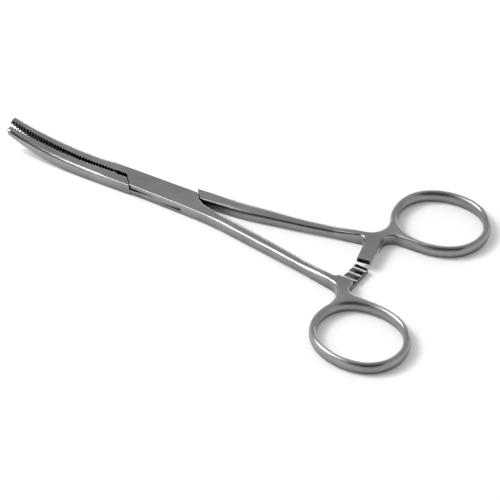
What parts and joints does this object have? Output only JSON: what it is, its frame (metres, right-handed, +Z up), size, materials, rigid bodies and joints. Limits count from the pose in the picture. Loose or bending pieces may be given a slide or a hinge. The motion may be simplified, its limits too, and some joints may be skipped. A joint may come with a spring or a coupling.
{
  "type": "curved hemostat forceps",
  "caption": "Curved artery forceps with cross-serrated jaws, a box lock, long tapering shanks, finger rings and a ratchet between them.",
  "frame": {"origin": "on the joint pin's axis, in the plane of the box's underside, on which the closed or open forceps lies", "axes": "+X along the forceps towards the finger rings, +Z up along the joint pin, the way the jaw tips curve"},
  "size_m": [0.1601, 0.086, 0.0091],
  "materials": {
    "box_steel": "satin",
    "tongue_steel": "satin",
    "pin_steel": "satin"
  },
  "bodies": {
    "box_body": {"box_half": "box_steel", "joint_pin": "pin_steel"},
    "tongue_body": {"tongue_half": "tongue_steel"}
  },
  "joints": [
    {"name": "box_lock_hinge", "type": "hinge", "parent": "box_body", "child": "tongue_body", "pos_m": [0, 0, 0], "axis": [0, 0, 1], "range_deg": [-2.5, 60]}
  ]
}
